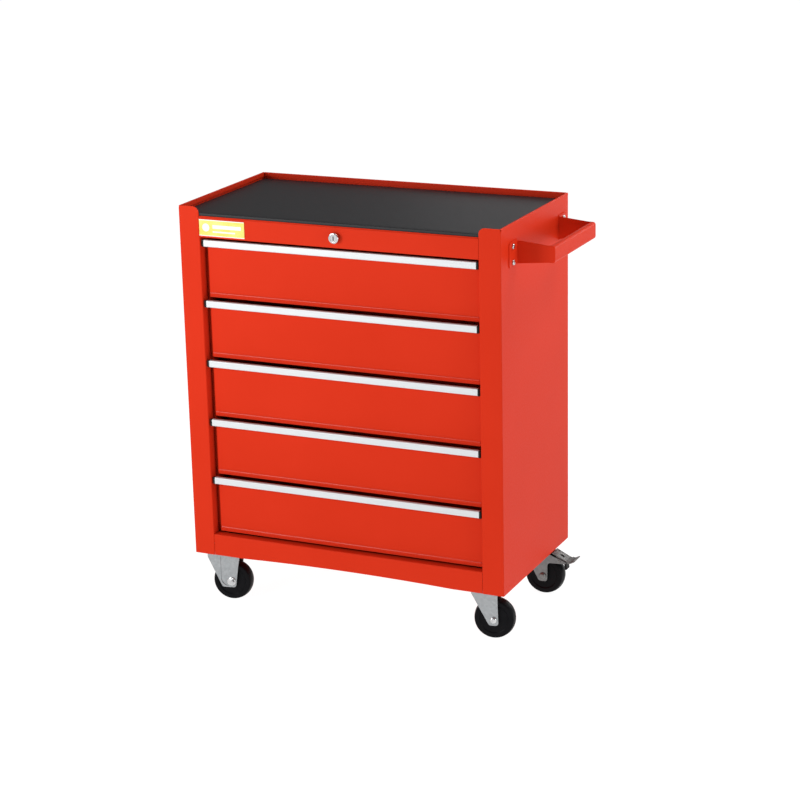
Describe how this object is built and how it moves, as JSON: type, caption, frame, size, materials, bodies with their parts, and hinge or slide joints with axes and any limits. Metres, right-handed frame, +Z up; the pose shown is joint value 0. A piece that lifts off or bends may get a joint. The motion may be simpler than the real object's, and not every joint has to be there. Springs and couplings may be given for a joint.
{
  "type": "rolling tool cabinet",
  "caption": "Rolling sheet-metal tool cabinet with sliding drawers, a key lock, a lipped top with a mat, a side handle and swivel casters.",
  "frame": {"origin": "on the floor, at the bottom centre of the whole object's box (cabinet, side handle and lock head)", "axes": "+Z up, +X to the cabinet's right side where the handle is, +Y from the drawer fronts to the back"},
  "size_m": [0.686, 0.3314, 0.754],
  "materials": {
    "red_enamel": "semi-gloss powder coat",
    "aluminium_pull": "satin anodised",
    "black_mat": "fine-grained foam",
    "plate_gold": "glossy",
    "chrome_lock": "polished",
    "bright_steel": "zinc plated",
    "galvanised": "galvanised",
    "slide_zinc": "zinc plated",
    "pedal_steel": "galvanised",
    "black_wheel": "smooth hard rubber"
  },
  "bodies": {
    "cabinet": {"left_side_panel": "red_enamel", "right_side_panel": "red_enamel", "back_panel": "red_enamel", "panel_rivets": "bright_steel", "top_tray": "red_enamel", "top_mat": "black_mat", "front_fascia": "red_enamel", "bottom_rail": "red_enamel", "base_pan": "red_enamel", "base_channels": "galvanised", "slide_posts": "red_enamel", "name_plate": "plate_gold", "slide_rails": "slide_zinc", "lock_barrel": "chrome_lock", "lock_nut": "bright_steel", "lock_guides": "slide_zinc", "side_handle": "red_enamel", "handle_screws": "bright_steel", "caster_plates": "galvanised", "caster_bolts": "bright_steel", "caster_nuts": "bright_steel"},
    "lock_cylinder": {"lock_plug": "chrome_lock", "lock_rod": "bright_steel"},
    "lock_bar": {"lock_bar": "slide_zinc"},
    "drawer_1": {"drawer_1_front": "red_enamel", "drawer_1_tray": "red_enamel", "drawer_1_pull": "aluminium_pull", "drawer_1_runners": "slide_zinc"},
    "slide_1": {"slide_1_middles": "slide_zinc"},
    "drawer_2": {"drawer_2_front": "red_enamel", "drawer_2_tray": "red_enamel", "drawer_2_pull": "aluminium_pull", "drawer_2_runners": "slide_zinc"},
    "slide_2": {"slide_2_middles": "slide_zinc"},
    "drawer_3": {"drawer_3_front": "red_enamel", "drawer_3_tray": "red_enamel", "drawer_3_pull": "aluminium_pull", "drawer_3_runners": "slide_zinc"},
    "slide_3": {"slide_3_middles": "slide_zinc"},
    "drawer_4": {"drawer_4_front": "red_enamel", "drawer_4_tray": "red_enamel", "drawer_4_pull": "aluminium_pull", "drawer_4_runners": "slide_zinc"},
    "slide_4": {"slide_4_middles": "slide_zinc"},
    "drawer_5": {"drawer_5_front": "red_enamel", "drawer_5_tray": "red_enamel", "drawer_5_pull": "aluminium_pull", "drawer_5_runners": "slide_zinc"},
    "slide_5": {"slide_5_middles": "slide_zinc"},
    "front_left_swivel": {"front_left_fork": "galvanised"},
    "front_left_wheel": {"front_left_wheel": "black_wheel"},
    "front_right_swivel": {"front_right_fork": "galvanised"},
    "front_right_wheel": {"front_right_wheel": "black_wheel"},
    "rear_left_swivel": {"rear_left_fork": "galvanised"},
    "rear_left_wheel": {"rear_left_wheel": "black_wheel"},
    "rear_left_pedal": {"rear_left_pedal": "pedal_steel"},
    "rear_right_swivel": {"rear_right_fork": "galvanised"},
    "rear_right_wheel": {"rear_right_wheel": "black_wheel"},
    "rear_right_pedal": {"rear_right_pedal": "pedal_steel"}
  },
  "joints": [
    {"name": "lock_turn", "type": "hinge", "parent": "cabinet", "child": "lock_cylinder", "pos_m": [-0.035, -0.1585, 0.7175], "axis": [0, -1, 0], "range_deg": [0, 90]},
    {"name": "lock_bar_shift", "type": "slide", "parent": "cabinet", "child": "lock_bar", "axis": [1, 0, 0], "range_m": [0, 0.01]},
    {"name": "drawer_1_slide", "type": "slide", "parent": "cabinet", "child": "drawer_1", "axis": [0, -1, 0], "range_m": [0, 0.24]},
    {"name": "slide_1_extend", "type": "slide", "parent": "cabinet", "child": "slide_1", "axis": [0, -1, 0], "range_m": [0, 0.12]},
    {"name": "drawer_2_slide", "type": "slide", "parent": "cabinet", "child": "drawer_2", "axis": [0, -1, 0], "range_m": [0, 0.24]},
    {"name": "slide_2_extend", "type": "slide", "parent": "cabinet", "child": "slide_2", "axis": [0, -1, 0], "range_m": [0, 0.12]},
    {"name": "drawer_3_slide", "type": "slide", "parent": "cabinet", "child": "drawer_3", "axis": [0, -1, 0], "range_m": [0, 0.24]},
    {"name": "slide_3_extend", "type": "slide", "parent": "cabinet", "child": "slide_3", "axis": [0, -1, 0], "range_m": [0, 0.12]},
    {"name": "drawer_4_slide", "type": "slide", "parent": "cabinet", "child": "drawer_4", "axis": [0, -1, 0], "range_m": [0, 0.24]},
    {"name": "slide_4_extend", "type": "slide", "parent": "cabinet", "child": "slide_4", "axis": [0, -1, 0], "range_m": [0, 0.12]},
    {"name": "drawer_5_slide", "type": "slide", "parent": "cabinet", "child": "drawer_5", "axis": [0, -1, 0], "range_m": [0, 0.24]},
    {"name": "slide_5_extend", "type": "slide", "parent": "cabinet", "child": "slide_5", "axis": [0, -1, 0], "range_m": [0, 0.12]},
    {"name": "front_left_swivel_turn", "type": "hinge", "parent": "cabinet", "child": "front_left_swivel", "pos_m": [-0.3015, -0.117, 0.094], "axis": [0, 0, 1], "continuous": true},
    {"name": "front_left_wheel_spin", "type": "hinge", "parent": "front_left_swivel", "child": "front_left_wheel", "pos_m": [-0.2887, -0.11474, 0.0375], "axis": [-0.1736, 0.9848, 0], "continuous": true},
    {"name": "front_right_swivel_turn", "type": "hinge", "parent": "cabinet", "child": "front_right_swivel", "pos_m": [0.224, -0.113, 0.094], "axis": [0, 0, 1], "continuous": true},
    {"name": "front_right_wheel_spin", "type": "hinge", "parent": "front_right_swivel", "child": "front_right_wheel", "pos_m": [0.2368, -0.11074, 0.0375], "axis": [-0.1736, 0.9848, 0], "continuous": true},
    {"name": "rear_left_swivel_turn", "type": "hinge", "parent": "cabinet", "child": "rear_left_swivel", "pos_m": [-0.301, 0.1245, 0.094], "axis": [0, 0, 1], "continuous": true},
    {"name": "rear_left_wheel_spin", "type": "hinge", "parent": "rear_left_swivel", "child": "rear_left_wheel", "pos_m": [-0.288, 0.1245, 0.0375], "axis": [0, 1, 0], "continuous": true},
    {"name": "rear_left_brake", "type": "hinge", "parent": "rear_left_swivel", "child": "rear_left_pedal", "pos_m": [-0.256, 0.1245, 0.0693], "axis": [0, 1, 0], "range_deg": [0, 10]},
    {"name": "rear_right_swivel_turn", "type": "hinge", "parent": "cabinet", "child": "rear_right_swivel", "pos_m": [0.23, 0.1245, 0.094], "axis": [0, 0, 1], "continuous": true},
    {"name": "rear_right_wheel_spin", "type": "hinge", "parent": "rear_right_swivel", "child": "rear_right_wheel", "pos_m": [0.243, 0.1245, 0.0375], "axis": [0, 1, 0], "continuous": true},
    {"name": "rear_right_brake", "type": "hinge", "parent": "rear_right_swivel", "child": "rear_right_pedal", "pos_m": [0.275, 0.1245, 0.0693], "axis": [0, 1, 0], "range_deg": [0, 10]}
  ],
  "couplings": [
    {"joint": "lock_turn", "follows": "lock_bar_shift", "rad_per_m": 157.08},
    {"joint": "slide_1_extend", "follows": "drawer_1_slide", "ratio": 0.5},
    {"joint": "slide_2_extend", "follows": "drawer_2_slide", "ratio": 0.5},
    {"joint": "slide_3_extend", "follows": "drawer_3_slide", "ratio": 0.5},
    {"joint": "slide_4_extend", "follows": "drawer_4_slide", "ratio": 0.5},
    {"joint": "slide_5_extend", "follows": "drawer_5_slide", "ratio": 0.5}
  ]
}
